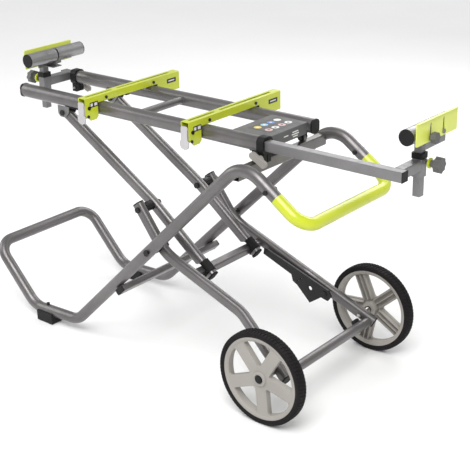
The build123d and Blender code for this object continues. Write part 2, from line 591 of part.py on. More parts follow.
# ---------------------------------------------------------------- roller supports
def extension(side):
    """Square arm in the rail, its cross tube, and the sleeve that holds the post."""
    way, s = OUTWARD[side], RAIL_SIDE[side]
    post_x = POST_X[side]
    arm_y = s * RAIL_Y
    half = ARM_SQ / 2
    arm_end = post_x + way * 25
    retracted_end = RAIL_RIGHT if side == "right" else RAIL_LEFT
    inner_end = retracted_end - way * (70 if side == "right" else 520)
    x0, x1 = sorted((inner_end, arm_end))
    arm = square_tube(x0, x1, arm_y - half, arm_y + half, RAIL_Z - half, RAIL_Z + half, 3, ARM_SQ_WALL, "x")
    sleeve_half = SLEEVE_SQ / 2
    y0, y1 = sorted((arm_y - s * half, s * sleeve_half))
    cross = square_tube(post_x - half, post_x + half, y0, y1, RAIL_Z - half, RAIL_Z + half, 3,
                        ARM_SQ_WALL, "y")
    sleeve = square_tube(post_x - sleeve_half, post_x + sleeve_half, -sleeve_half, sleeve_half,
                         SLEEVE_BOTTOM, BUSH_Z, 3, 0, "z")
    bore = POST_SQ / 2 + 0.3
    knob_x = post_x + way * sleeve_half
    boss = rod_x(knob_x, knob_x + way * 7, 0, POST_KNOB_Z, 9)
    sleeve += boss
    sleeve -= box(post_x - bore, post_x + bore, -bore, bore, SLEEVE_BOTTOM, BUSH_Z)
    sleeve -= rod_x(post_x, knob_x + way * 8, 0, POST_KNOB_Z, 4.0 + RUN_FIT)
    add(f"{side}_extension_arm", arm + cross + sleeve)

    bush = square_tube(post_x - sleeve_half - 2, post_x + sleeve_half + 2, -sleeve_half - 2,
                       sleeve_half + 2, BUSH_Z, SLEEVE_TOP, 5, 0, "z")
    bush -= box(post_x - bore, post_x + bore, -bore, bore, BUSH_Z, SLEEVE_TOP)
    cap0, cap1 = arm_end, arm_end - way * 10
    stub = half - 2.4
    cap = box(cap0, cap1, arm_y - stub, arm_y + stub, RAIL_Z - stub, RAIL_Z + stub)
    cap += box(cap0, cap0 + way * 2, arm_y - half, arm_y + half, RAIL_Z - half, RAIL_Z + half)
    add(f"{side}_arm_plastics", bush - boss, cap)


def roller_x(side):
    return POST_X[side] + ROLLER_OFF[side]


def plate_x(side):
    """Inner face of the stop plate, which stands on the outward side of the roller."""
    return roller_x(side) + OUTWARD[side] * (ROLLER_R + 6)


def post(side):
    """Height-adjustable post with the welded head that carries the roller and stop plate."""
    way = OUTWARD[side]
    x, axis_x = POST_X[side], roller_x(side)
    half = POST_SQ / 2
    tube = square_tube(x - half, x + half, -half, half, POST_BOTTOM, HEAD_Z, 3, ARM_SQ_WALL, "z")
    bar0, bar1 = sorted((plate_x(side) - way * (SIDE_GAP + 3), plate_x(side) - way * SIDE_GAP))
    low, high = min(x - half, axis_x - 12, bar0), max(x + half, axis_x + 12, bar1)
    base = box(low, high, -20, 20, HEAD_Z, HEAD_Z + 3)
    head = tube + base + box(bar0, bar1, -52, 52, HEAD_Z, PLATE_KNOB_Z + 14)
    hanger = [(axis_x - 12, HEAD_Z), (axis_x + 12, HEAD_Z), (axis_x + 9, ROLLER_Z), (axis_x - 9, ROLLER_Z)]
    head += side_plate(hanger, -3, 3) + rod((axis_x, ROLLER_Z), -3, 3, 9)
    head -= rod((axis_x, ROLLER_Z), -4, 4, 5.0 + RUN_FIT)
    knob_y = RAIL_SIDE[side] * PLATE_KNOB_Y
    head -= rod_x(bar0 - 1, bar1 + 1, knob_y, PLATE_KNOB_Z, 4.0 + RUN_FIT)
    face = plate_x(side)
    head += rod_x(bar0, face + way * (SHEET + SIDE_GAP), -knob_y, PLATE_KNOB_Z, 3.6)
    head += rod_x(face + way * (SHEET + SIDE_GAP), face + way * (SHEET + 4), -knob_y, PLATE_KNOB_Z, 6.5)
    add(f"{side}_post", head)


def roller(side):
    """Two tubes on one axle, with a narrow gap between them for the post's hanger."""
    axis = (roller_x(side), ROLLER_Z)
    half = ROLLER_HALF[side]
    gap = 3 + SIDE_GAP
    tubes, caps = [], []
    for s in (-1, 1):
        shell = rod(axis, s * gap, s * (half - 3), ROLLER_R)
        shell -= rod(axis, s * gap, s * (half - 3), ROLLER_R - 2)
        disc = rod(axis, s * gap, s * (gap + 4), ROLLER_R - 2)
        tubes.append(shell + disc)
        cap = rod(axis, s * (half - 3), s * half, ROLLER_R)
        cap += rod(axis, s * (half - 16), s * (half - 3), ROLLER_R - 2)
        caps.append(cap)
    axle = rod(axis, -(half - 16), half - 16, 5.0)
    add(f"{side}_roller_tube", tubes[0] + tubes[1] + axle)
    add(f"{side}_roller_caps", *caps)


def stop_plate(side):
    """Upright material stop with two vertical slots and a small turned lip."""
    way = OUTWARD[side]
    face = plate_x(side)
    x0, x1 = sorted((face, face + way * SHEET))
    low = PLATE_LOW[side]
    high = low + PLATE_TALL
    plate = box(x0, x1, -PLATE_HALF, PLATE_HALF, low, high)
    plate = fillet(plate.edges().filter_by(Axis.X), 4)
    lip0, lip1 = sorted((face, face + way * 7))
    plate += box(lip0, lip1, -PLATE_HALF + 4, PLATE_HALF - 4, high - SHEET, high)
    slot_z0 = PLATE_KNOB_Z - (6 if side == "right" else 22)
    for y in (-PLATE_SLOT_Y, PLATE_SLOT_Y):
        plate -= rod_x(x0 - 1, x1 + 1, y, slot_z0 + 4.5, 4.5)
        plate -= rod_x(x0 - 1, x1 + 1, y, slot_z0 + PLATE_SLOT - 4.5, 4.5)
        plate -= box(x0 - 1, x1 + 1, y - 4.5, y + 4.5, slot_z0 + 4.5, slot_z0 + PLATE_SLOT - 4.5)
    add(f"{side}_stop_plate", plate)


def knobs(side):
    way = OUTWARD[side]
    face = POST_X[side] + way * SLEEVE_SQ / 2
    post_face = POST_X[side] + way * (POST_SQ / 2 + 0.6)
    screw = rod_x(post_face, face + way * 30, 0, POST_KNOB_Z, 4.0)
    collar = rod_x(face + way * 23, face + way * 37, 0, POST_KNOB_Z, 10)
    wheel_part = star_knob(face + way * 37, face + way * 55, 0, POST_KNOB_Z, 23, 8, way)
    add(f"{side}_post_knob", screw + collar + wheel_part)

    y = RAIL_SIDE[side] * PLATE_KNOB_Y
    face = plate_x(side)
    screw = rod_x(face - way * 5, face + way * 12, y, PLATE_KNOB_Z, 4.0)
    washer = rod_x(face + way * (SHEET + SIDE_GAP), face + way * 9, y, PLATE_KNOB_Z, 8)
    grip = star_knob(face + way * 9, face + way * PLATE_KNOB_OUT, y, PLATE_KNOB_Z, 16, 6, way)
    add(f"{side}_plate_knob", screw + washer + grip)


# ---------------------------------------------------------------- saw brackets
def bracket_sheet(x0, x1):
    """One flange: a deep round-nosed end outside the near rail, a hook outside the far one."""
    foot = RAIL_TOP + 0.3
    outline = [(BRACKET_NEAR, BRACKET_TOP), (BRACKET_FAR, BRACKET_TOP), (BRACKET_FAR, 781),
               (HOOK_Y, 781), (HOOK_Y, foot), (-HOOK_Y, foot), (-HOOK_Y, 775), (-HOOK_Y - 9, 766),
               (-176, 766), (BRACKET_NEAR, 786)]
    return cross_plate(outline, x0, x1)


def saw_bracket(side):
    x = BRACKET_X[side]
    half = BRACKET_W / 2
    body = bracket_sheet(x - half, x - half + SHEET) + bracket_sheet(x + half - SHEET, x + half)
    web = box(x - half, x + half, BRACKET_NEAR, BRACKET_FAR, BRACKET_TOP - SHEET, BRACKET_TOP)
    body += web
    body += box(x - half, x + half, BRACKET_FAR - SHEET, BRACKET_FAR, 790, BRACKET_TOP)
    body = fillet(body.edges().filter_by(Axis.Y).group_by(Axis.Z)[-1], 2)
    for y0, y1 in TOP_SLOTS:
        body -= box(x - SLOT_R, x + SLOT_R, y0 + SLOT_R, y1 - SLOT_R, BRACKET_TOP - 4, BRACKET_TOP + 1)
        body -= rod_z(x, y0 + SLOT_R, BRACKET_TOP - 4, BRACKET_TOP + 1, SLOT_R)
        body -= rod_z(x, y1 - SLOT_R, BRACKET_TOP - 4, BRACKET_TOP + 1, SLOT_R)
    body -= rod_x(x - half - 1, x + half + 1, LEVER_PIVOT[0], LEVER_PIVOT[1], 4.0)
    add(f"{side}_saw_bracket", body)

    bolts = [rod_x(x - half - 3, x + half + 3, *LEVER_PIVOT, 4.0)]
    for way in (-1, 1):
        bolts[0] += rod_x(x + way * half, x + way * (half + 3), *LEVER_PIVOT, 6.0)
        for y, z in BRACKET_BOLTS:
            bolts.append(rod_x(x + way * half, x + way * (half + 3), y, z, 5.0))
    add(f"{side}_bracket_bolts", *bolts)

    inner = half - SHEET - SIDE_GAP
    pad = box(x - inner, x + inner, HOOK_Y - 3.4, HOOK_Y + 12, 783, BRACKET_TOP - 12)
    pad -= box(x - inner, x + inner, HOOK_Y - 4, RAIL_Y + RAIL_W / 2 + 3, RAIL_Z + 8, BRACKET_TOP)
    jaw = box(x - inner, x + inner, -HOOK_Y - 16, -HOOK_Y + 3.4, 779, 812)
    jaw -= box(x - inner, x + inner, -HOOK_Y - 1, -HOOK_Y + 4, 802, 813)
    add(f"{side}_bracket_pads", pad, jaw)

    lever_y = BRACKET_NEAR - 1.5
    py, pz = LEVER_PIVOT
    top = cross_plate([(lever_y - 6, 818), (lever_y + 1, 822), (py + 3, pz + 10), (py + 9, pz - 2),
                       (py + 4, pz - 10), (lever_y, 784), (lever_y - 6, 784)], x - inner, x + inner)
    grip = cross_plate([(lever_y - 6, 785), (lever_y, 785), (lever_y, 761), (lever_y - 3, 757),
                        (lever_y - 6, 759)], x - half - 1.5, x + half + 1.5)
    lever = top + grip - rod_x(x - half, x + half, py, pz, 4.0 + RUN_FIT)
    add(f"{side}_bracket_lever", lever)


# ---------------------------------------------------------------- release lever
def release_lever():
    """The pressed-steel foot lever on the inside of the far wheel leg."""
    outline = [(-338, 306), (-222, 262), (-216, 240), (-198, 230), (-147, 180), (-102, 212),
               (-76, 206), (-62, 224), (-74, 244), (-110, 256), (-230, 296), (-334, 330)]
    plate = side_plate(outline, LEVER_Y - 3, LEVER_Y + 3)
    for x, z, r in ((-146, 232, 8.0), (-196, 246, 3.0), (-183, 256, 3.0)):
        plate -= rod((x, z), LEVER_Y - 4, LEVER_Y + 4, r)
    plate -= rod(LEVER_BOLT, LEVER_Y - 4, LEVER_Y + 4, 5.0 + RUN_FIT)
    add("release_lever", plate)


def lever_bolt():
    """The lever's shouldered bolt, standing out of the far leg."""
    inner = LEG_Y - LEG_W / 2
    bolt = rod(LEVER_BOLT, LEVER_Y - 3.4, inner + 4, 5.0)
    bolt += rod(LEVER_BOLT, LEVER_Y - 6, LEVER_Y - 3.4, 9)
    bolt += rod(LEVER_BOLT, LEVER_Y + 3.4, inner, 9)
    return bolt - leg_solid(1)


def main():
    rail_frame()
    handle_frame()
    wheel_frame()
    for side in ("near", "far"):
        wheel(side)
    upper_arms()
    for side in ("right", "left"):
        extension(side)
        post(side)
        roller(side)
        stop_plate(side)
        knobs(side)
        wing_knob(side)
    for side in ("left", "right"):
        saw_bracket(side)
    release_lever()
    export()


def export():
    low, high = LOOP_END[0] - FRAME_R, plate_x("right") + PLATE_KNOB_OUT
    shift = Location((-(low + high) / 2, 0, 0))
    for name, solids in nodes.items():
        moved = [solid.moved(shift) for solid in solids]
        shape = moved[0] if len(moved) == 1 else Compound(children=moved)
        export_step(shape, f"parts/{name}.step")
    print(len(nodes), "nodes")


main()
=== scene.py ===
import json
import math

import bmesh
import bpy
from mathutils import Matrix, Vector


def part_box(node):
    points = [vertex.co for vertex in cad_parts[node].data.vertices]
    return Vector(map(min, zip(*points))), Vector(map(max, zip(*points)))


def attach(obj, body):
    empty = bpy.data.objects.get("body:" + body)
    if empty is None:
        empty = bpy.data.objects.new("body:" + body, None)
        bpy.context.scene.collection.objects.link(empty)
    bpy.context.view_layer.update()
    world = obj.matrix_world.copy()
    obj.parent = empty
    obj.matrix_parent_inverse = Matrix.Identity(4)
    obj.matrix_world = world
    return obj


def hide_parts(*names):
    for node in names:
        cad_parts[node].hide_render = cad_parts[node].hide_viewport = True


# A folding, wheeled saw stand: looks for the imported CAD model.  Metres, +Z up,
# +X along the rails towards the carry handle, +Y to the far side.

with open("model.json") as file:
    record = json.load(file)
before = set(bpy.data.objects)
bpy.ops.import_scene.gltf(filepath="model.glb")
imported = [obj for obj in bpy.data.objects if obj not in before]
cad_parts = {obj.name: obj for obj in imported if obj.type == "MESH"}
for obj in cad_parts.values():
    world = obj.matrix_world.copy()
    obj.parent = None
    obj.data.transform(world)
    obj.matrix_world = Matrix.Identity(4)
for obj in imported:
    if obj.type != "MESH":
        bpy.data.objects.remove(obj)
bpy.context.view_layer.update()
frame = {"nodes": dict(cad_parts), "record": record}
nodes = frame["nodes"]
slot_of = {s["node"]: s["material_slot"] for s in frame["record"]["subparts"]}

TURN = 2 * math.pi
ALONG_Y = (0, 1, 0)


# ---------------------------------------------------------------- materials
class Graph:
    """A material's node tree with a short way to add and join nodes."""

    def __init__(self, name):
        self.mat = bpy.data.materials.new(name)
        self.mat.use_nodes = True
        self.tree = self.mat.node_tree
        self.shader = self.tree.nodes["Principled BSDF"]

    def feed(self, socket, value):
        """Joins a socket to an output, or sets it to a constant."""
        if isinstance(value, bpy.types.NodeSocket):
            self.tree.links.new(value, socket)
        else:
            socket.default_value = value

    def add(self, kind, settings=None, **inputs):
        """A new node; its inputs are given by socket name, or by number as i0, i1 and so on."""
        node = self.tree.nodes.new(kind)
        for key, value in (settings or {}).items():
            setattr(node, key, value)
        for key, value in inputs.items():
            numbered = key[0] == "i" and key[1:].isdigit()
            self.feed(node.inputs[int(key[1:]) if numbered else key], value)
        return node

    def link(self, output, name):
        self.tree.links.new(output, self.shader.inputs[name])

    def noise(self, place, scale, detail=3.0, rough=0.55):
        node = self.add("ShaderNodeTexNoise", Vector=place, Scale=scale, Detail=detail, Roughness=rough)
        return node.outputs["Fac"]

    def remap(self, value, low, high, to_low, to_high):
        node = self.add("ShaderNodeMapRange", i0=value, i1=low, i2=high, i3=to_low, i4=to_high)
        return node.outputs[0]

    def times(self, a, b):
        node = self.add("ShaderNodeMath", {"operation": "MULTIPLY", "use_clamp": True}, i0=a, i1=b)
        return node.outputs[0]

    def mix(self, factor, a, b):
        return self.add("ShaderNodeMix", {"data_type": "RGBA"}, i0=factor, i6=a, i7=b).outputs[2]


def rgba(colour, gain=1.0):
    return tuple(min(1.0, c * gain) for c in colour) + (1.0,)


SPECK_SCALE = 140.0
CHIP_SCALE = 60.0
DUST_SCALE = 22.0
SMEAR_SCALE = 35.0
SPECK_SHADE = 1.6                       # how much darker a speck is, in colour drifts
SMOOTHER, ROUGHER = 0.09, 0.11          # how far the roughness drifts each way
BUMP_REACH = 0.001
DUST_COLOUR = (0.42, 0.40, 0.37)
BARE_STEEL = (0.46, 0.45, 0.44)


def finish_of(name, colour, rough, metallic=0.0, coat=0.0, coat_rough=0.2, patch=7.0, vary=0.16,
              grain=900.0, depth=0.06, edge=0.0012, wear=None, worn=0.5, dust=0.0, brush=None, gloss=0.5):
    """A worn, slightly uneven surface: colour drift, specks, grain, soft edges, edge wear and dust.

    patch and grain are noise scales, vary is the colour drift and depth the grain's strength. edge is the
    softened edges' radius, wear the colour that shows where they are chipped, and worn how much of it
    shows. brush stretches the grain, and gloss is the specular level.
    """
    g = Graph(name)
    place = g.add("ShaderNodeTexCoord")
    at = place.outputs["Object"]
    drift = g.remap(g.noise(at, patch, 4.0), 0.3, 0.7, 0.0, 1.0)
    speck = g.remap(g.noise(at, SPECK_SCALE, 5.0, 0.7), 0.55, 0.75, 0.0, 0.35)
    tone = g.mix(drift, rgba(colour, 1 - vary), rgba(colour, 1 + vary))
    tone = g.mix(speck, tone, rgba(colour, 1 - SPECK_SHADE * vary))
    rounded = g.add("ShaderNodeBevel", {"samples": 3}, Radius=edge).outputs[0]
    if wear:
        flat = g.add("ShaderNodeNewGeometry").outputs["Normal"]
        likeness = g.add("ShaderNodeVectorMath", {"operation": "DOT_PRODUCT"}, i0=rounded, i1=flat)
        on_edge = g.remap(likeness.outputs["Value"], 0.995, 0.86, 0.0, 1.0)
        chips = g.remap(g.noise(at, CHIP_SCALE, 6.0, 0.75), 0.42, 0.62, 0.0, worn)
        tone = g.mix(g.times(on_edge, chips), tone, rgba(wear))
    if dust:
        up = g.add("ShaderNodeSeparateXYZ", Vector=place.outputs["Normal"]).outputs["Z"]
        patches = g.remap(g.noise(at, DUST_SCALE, 5.0, 0.7), 0.35, 0.7, 0.2, 1.0)
        tone = g.mix(g.times(g.remap(up, 0.3, 1.0, 0.0, dust), patches), tone, rgba(DUST_COLOUR))
    g.link(tone, "Base Color")
    smear = g.noise(at, SMEAR_SCALE, 5.0, 0.65)
    g.link(g.remap(smear, 0.25, 0.75, max(0.05, rough - SMOOTHER), rough + ROUGHER), "Roughness")
    if brush:
        at = g.add("ShaderNodeMapping", Vector=at, Scale=brush).outputs[0]
    fine = g.noise(at, grain, 2.0)
    bump = g.add("ShaderNodeBump", Height=fine, Normal=rounded, Strength=depth, Distance=BUMP_REACH)
    g.link(bump.outputs[0], "Normal")
    g.shader.inputs["Metallic"].default_value = metallic
    g.shader.inputs["Coat Weight"].default_value = coat
    g.shader.inputs["Coat Roughness"].default_value = coat_rough
    g.shader.inputs["Specular IOR Level"].default_value = gloss
    return g.mat


# name: (colour, roughness, the rest of its finish)
FINISHES = {
    # painted steel
    "frame_paint": ((0.165, 0.155, 0.157), 0.36,
                    dict(metallic=0.72, coat=0.2, wear=BARE_STEEL, dust=0.06)),
    "arm_paint": ((0.185, 0.18, 0.185), 0.42,
                  dict(metallic=0.35, coat=0.2, wear=BARE_STEEL, worn=0.7, dust=0.05)),
    "lime_paint": ((0.53, 0.60, 0.018), 0.34,
                   dict(coat=0.45, coat_rough=0.12, patch=5.0, vary=0.07, grain=420.0, depth=0.05,
                        wear=(0.30, 0.34, 0.10), worn=0.45, dust=0.05)),
    "pale_lime": ((0.70, 0.77, 0.12), 0.38,
                  dict(coat=0.35, vary=0.06, grain=420.0, depth=0.05, wear=(0.45, 0.48, 0.25), worn=0.45)),
    "lever_paint": ((0.47, 0.455, 0.46), 0.38, dict(coat=0.3, vary=0.08, wear=BARE_STEEL, worn=0.4)),
    # plastic and rubber
    "black_plastic": ((0.011, 0.0105, 0.011), 0.50,
                      dict(vary=0.25, grain=1500.0, depth=0.16, wear=(0.06, 0.06, 0.06), dust=0.03,
                           gloss=0.22)),
    "tray_plastic": ((0.085, 0.085, 0.088), 0.52,
                     dict(vary=0.2, grain=1300.0, depth=0.2, wear=(0.14, 0.14, 0.14), dust=0.10)),
    "rim_plastic": ((0.33, 0.31, 0.285), 0.50,
                    dict(vary=0.07, grain=1400.0, depth=0.14, wear=(0.45, 0.43, 0.40), dust=0.05)),
    "knob_plastic": ((0.095, 0.094, 0.092), 0.48,
                     dict(vary=0.18, grain=1300.0, depth=0.16, wear=(0.2, 0.2, 0.2))),
    "black_rubber": ((0.010, 0.010, 0.010), 0.70,
                     dict(vary=0.3, grain=1100.0, depth=0.25, wear=(0.05, 0.05, 0.05), dust=0.04,
                          gloss=0.14)),
    "tyre_rubber": ((0.011, 0.0095, 0.0105), 0.62,
                    dict(vary=0.3, grain=1200.0, depth=0.25, edge=0.0008, wear=(0.055, 0.052, 0.05),
                         worn=0.6, dust=0.03, gloss=0.14)),
    # bare, plated and blackened steel
    "roller_steel": ((0.31, 0.305, 0.31), 0.34,
                     dict(metallic=0.85, vary=0.10, grain=60.0, depth=0.05, wear=(0.6, 0.6, 0.6),
                          brush=(0.3, 60.0, 0.3))),
    "zinc_steel": ((0.48, 0.47, 0.45), 0.33,
                   dict(metallic=1.0, patch=90.0, grain=700.0, wear=(0.62, 0.62, 0.62))),
    "black_steel": ((0.011, 0.0105, 0.0115), 0.40,
                    dict(metallic=0.1, coat=0.2, vary=0.2, wear=(0.16, 0.155, 0.15), worn=0.6, dust=0.02,
                         gloss=0.2)),
}
# printed marks: name: (colour, roughness, colour drift)
PRINTS = {
    "label_white": ((0.72, 0.72, 0.70), 0.40, 0.05),
    "label_black": ((0.018, 0.018, 0.02), 0.34, 0.2),
    "dot_yellow": ((0.75, 0.55, 0.03), 0.40, 0.05),
    "dot_blue": ((0.05, 0.16, 0.50), 0.40, 0.05),
    "dot_sky": ((0.22, 0.50, 0.65), 0.40, 0.05),
    "dot_pink": ((0.65, 0.42, 0.40), 0.40, 0.05),
}

looks = {name: finish_of(name, colour, rough, **more) for name, (colour, rough, more) in FINISHES.items()}
for name, (colour, rough, vary) in PRINTS.items():
    looks[name] = finish_of(name, colour, rough, vary=vary, grain=2000.0, depth=0.03)

# CAD nodes whose look differs from their slot's
OTHER_LOOK = {
    "left_stop_plate": "pale_lime",
    "right_stop_plate": "pale_lime",
    "frame_bolts": "black_steel",
    "main_pivot_hardware": "black_steel",
    "shoulder_nuts": "black_steel",
    "leg_pivot_hardware": "black_steel",
}
for name, obj in nodes.items():
    obj.data.materials.clear()
    obj.data.materials.append(looks[OTHER_LOOK.get(name, slot_of[name])])


# ---------------------------------------------------------------- mesh helpers
SHARP_ABOVE = math.radians(38)


def piece(name, verts, faces, body, look):
    """A mesh object that rides on a body and has a look."""
    mesh = bpy.data.meshes.new(name)
    mesh.from_pydata([tuple(v) for v in verts], [], faces)
    made = bmesh.new()
    made.from_mesh(mesh)
    bmesh.ops.recalc_face_normals(made, faces=made.faces)
    made.to_mesh(mesh)
    made.free()
    mesh.materials.append(looks[look])
    for face in mesh.polygons:
        face.use_smooth = True
    obj = bpy.data.objects.new(name, mesh)
    bpy.context.scene.collection.objects.link(obj)
    mesh.set_sharp_from_angle(angle=SHARP_ABOVE)
    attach(obj, body)
    return obj


def mid(low, high):
    return (low + high) / 2


def band_faces(rings, count, closed=True):
    """Quads that join each ring of count points to the next; closed joins the last ring to the first."""
    return [
        (r * count + k, r * count + (k + 1) % count,
         (r + 1) % rings * count + (k + 1) % count, (r + 1) % rings * count + k)
        for r in range(rings if closed else rings - 1)
        for k in range(count)
    ]


def cap_faces(rings, count):
    """The faces that close the last and the first ring."""
    return [tuple(range((rings - 1) * count, rings * count)), tuple(reversed(range(count)))]


def basis(axis):
    """A unit axis and two unit vectors across it."""
    axis = Vector(axis).normalized()
    across = Vector((0, 0, 1)) if abs(axis.z) < 0.9 else Vector((1, 0, 0))
    first = axis.cross(across).normalized()
    return axis, first, axis.cross(first)


def lathe(centre, axis, profile, steps):
    """A closed profile of (radius, along) points, turned about an axis."""
    axis, first, second = basis(axis)
    verts = []
    for i in range(steps):
        angle = TURN * i / steps
        out = first * math.cos(angle) + second * math.sin(angle)
        verts += [centre + axis * along + out * radius for radius, along in profile]
    return verts, band_faces(steps, len(profile))


def rounded_outline(width, height, radius, steps=5):
    """Points of a rounded rectangle about the origin."""
    points = []
    for cx, cy, start in ((1, 1, 0.0), (-1, 1, 0.25), (-1, -1, 0.5), (1, -1, 0.75)):
        for i in range(steps + 1):
            angle = TURN * (start + 0.25 * i / steps)
            points.append((cx * (width / 2 - radius) + radius * math.cos(angle),
                           cy * (height / 2 - radius) + radius * math.sin(angle)))
    return points


def slab(outline, centre, right, up, thick, soft=0.0002):
    """A thin plate with softened edges that stands out of a surface; right and up lie in the surface."""
    right = Vector(right).normalized()
    up = Vector(up).normalized()
    out = right.cross(up)
    levels = ((0.0, -soft), (0.0, thick - soft), (soft, thick))     # (inset, level above the surface)
    verts = []
    for inset, level in levels:
        for a, b in outline:
            size = math.hypot(a, b)
            keep = (size - inset) / size
            verts.append(centre + right * (a * keep) + up * (b * keep) + out * level)
    count = len(outline)
    return verts, band_faces(len(levels), count, closed=False) + cap_faces(len(levels), count)


# ---------------------------------------------------------------- tyres
TREAD_BLOCKS = 84
TREAD_DEPTH = 0.0022
BLOCK_STEPS = ((0.00, 0.0), (0.05, 1.0), (0.62, 1.0), (0.67, 0.0))  # (share of a block, 1 raised, 0 groove)
WALL = ((-0.0005, 0.80), (0.0025, 0.90), (0.0060, 0.975))           # (rise from the rim, share of half width)
# (drop from the crown, share of the half width, share of the tread's depth)
CROWN = ((0.0090, 1.00, 0), (0.0048, 0.965, 0), (0.0024, 0.90, 0.5), (0.0012, 0.80, 1), (0.0006, 0.62, 1),
         (0.0003, 0.40, 1), (0.0003, 0.30, 1), (0.0018, 0.27, 0), (0.0018, 0.19, 0), (0.0, 0.16, 1))


def tyre(side):
    """A tyre with two staggered rows of tread blocks, in place of the CAD tyre."""
    low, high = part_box(f"{side}_tyre")
    rim_low, rim_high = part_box(f"{side}_rim")
    middle = mid(low, high)
    crown_r = (high.x - low.x) / 2
    rim_r = (rim_high.x - rim_low.x) / 2
    half = (high.y - low.y) / 2
    profile = [(rim_r + rise, share * half, 0) for rise, share in WALL]
    profile += [(crown_r - drop, share * half, tread) for drop, share, tread in CROWN]
    profile += [(reach, -along, tread) for reach, along, tread in reversed(profile)]
    verts = []
    for block in range(TREAD_BLOCKS):
        for share, raised in BLOCK_STEPS:
            for reach, along, tread in profile:
                stagger = 0.5 if along < 0 else 0.0
                angle = TURN * (block + share + stagger) / TREAD_BLOCKS
                radius = reach - TREAD_DEPTH * tread * (1 - raised)
                verts.append(middle + Vector((radius * math.cos(angle), along, radius * math.sin(angle))))
    faces = band_faces(TREAD_BLOCKS * len(BLOCK_STEPS), len(profile))
    made = piece(f"{side}_tyre_tread", verts, faces, f"{side}_wheel", "tyre_rubber")
    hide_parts(f"{side}_tyre")


for side in ("near", "far"):
    tyre(side)

# ---------------------------------------------------------------- rims
SPOKES = 5
SPOKE_HALF = 0.020                      # half a spoke's width
WINDOW_OUT = 0.118                      # outer radius of the openings between the spokes
WINDOW_SOFT = 0.007                     # their corners' radius
FACE_HALF = 0.005                       # half the spoked face's thickness
FACE_BEVEL = 0.0012
FACE_INSET = 0.006                      # from the rim's outer side to the face
RIM_STEPS = 96
# (depth under the rim's edge, place across the wheel)
WELL = ((0.0, -0.0165), (0.0, 0.0165), (0.004, 0.0165), (0.010, 0.0145), (0.0125, 0.010), (0.0125, -0.0125),
        (0.009, -0.0155), (0.004, -0.0165))
# (radius, place out from the hub's seat)
HUB = ((0.0142, 0.0), (0.0142, 0.004), (0.0205, 0.0045), (0.023, 0.0035), (0.024, 0.002), (0.024, -0.034),
       (0.0105, -0.036), (0.0105, 0.0))
HUB_INSET = 0.0055
RIB_OFFSETS = (-0.0155, 0.0, 0.0155)    # the ribs behind a spoke, across it
RIB_LONG = 0.092
RIB_WIDE = 0.0030
RIB_DEEP = 0.019
RIB_CORNER = 0.0012
RIB_MIDDLE = 0.074                      # from the axle to a rib's middle
RIB_INSET = 0.0105
# the wheel plane's drawing axes turned to the model's X and Z
WHEEL_PLANE = Matrix(((1, 0, 0), (0, 0, -1), (0, 1, 0))).to_4x4()


def arc(centre, radius, start, end, steps):
    """Points of an arc in a plane, both ends included."""
    angles = [start + (end - start) * i / steps for i in range(steps + 1)]
    return [centre + Vector((math.cos(a), math.sin(a))) * radius for a in angles]


def window(start):
    """The rounded opening between two spokes, in the wheel's own plane; start is the first spoke's angle."""
    share = TURN / SPOKES
    quarter = TURN / 4
    end = start + share
    apex_r = (SPOKE_HALF + WINDOW_SOFT) / math.sin(share / 2)
    apex = Vector((math.cos(start + share / 2), math.sin(start + share / 2))) * apex_r
    corner_r = WINDOW_OUT - WINDOW_SOFT
    lean = math.asin((SPOKE_HALF + WINDOW_SOFT) / corner_r)
    first = start + lean
    last = end - lean
    first_corner = Vector((math.cos(first), math.sin(first))) * corner_r
    last_corner = Vector((math.cos(last), math.sin(last))) * corner_r
    points = arc(apex, WINDOW_SOFT, end + quarter, start + 3 * quarter, 8)
    points += arc(first_corner, WINDOW_SOFT, start - quarter, first, 6)
    points += arc(Vector((0, 0)), WINDOW_OUT, first, last, 12)[1:-1]
    points += arc(last_corner, WINDOW_SOFT, last, end + quarter, 6)
    return points


def cut_plate(name, loops, half_thick, bevel, place, body, look):
    """A flat plate with openings: the first loop is its outline, and the others are cut out of it."""
    data = bpy.data.curves.new(name, "CURVE")
    data.dimensions = "2D"
    data.fill_mode = "BOTH"
    data.extrude = half_thick - bevel
    data.bevel_depth = bevel
    data.bevel_resolution = 2
    data.offset = -bevel
    for loop in loops:
        spline = data.splines.new("POLY")
        spline.points.add(len(loop) - 1)
        for point, (a, b) in zip(spline.points, loop):
            point.co = (a, b, 0, 1)
        spline.use_cyclic_u = True
    carrier = bpy.data.objects.new(name + "_outline", data)
    bpy.context.scene.collection.objects.link(carrier)
    bpy.context.view_layer.update()
    mesh = bpy.data.meshes.new_from_object(carrier.evaluated_get(bpy.context.evaluated_depsgraph_get()))
    bpy.data.objects.remove(carrier)
    mesh.transform(place)
    verts = [v.co.copy() for v in mesh.vertices]
    faces = [tuple(p.vertices) for p in mesh.polygons]
    bpy.data.meshes.remove(mesh)
    return piece(name, verts, faces, body, look)


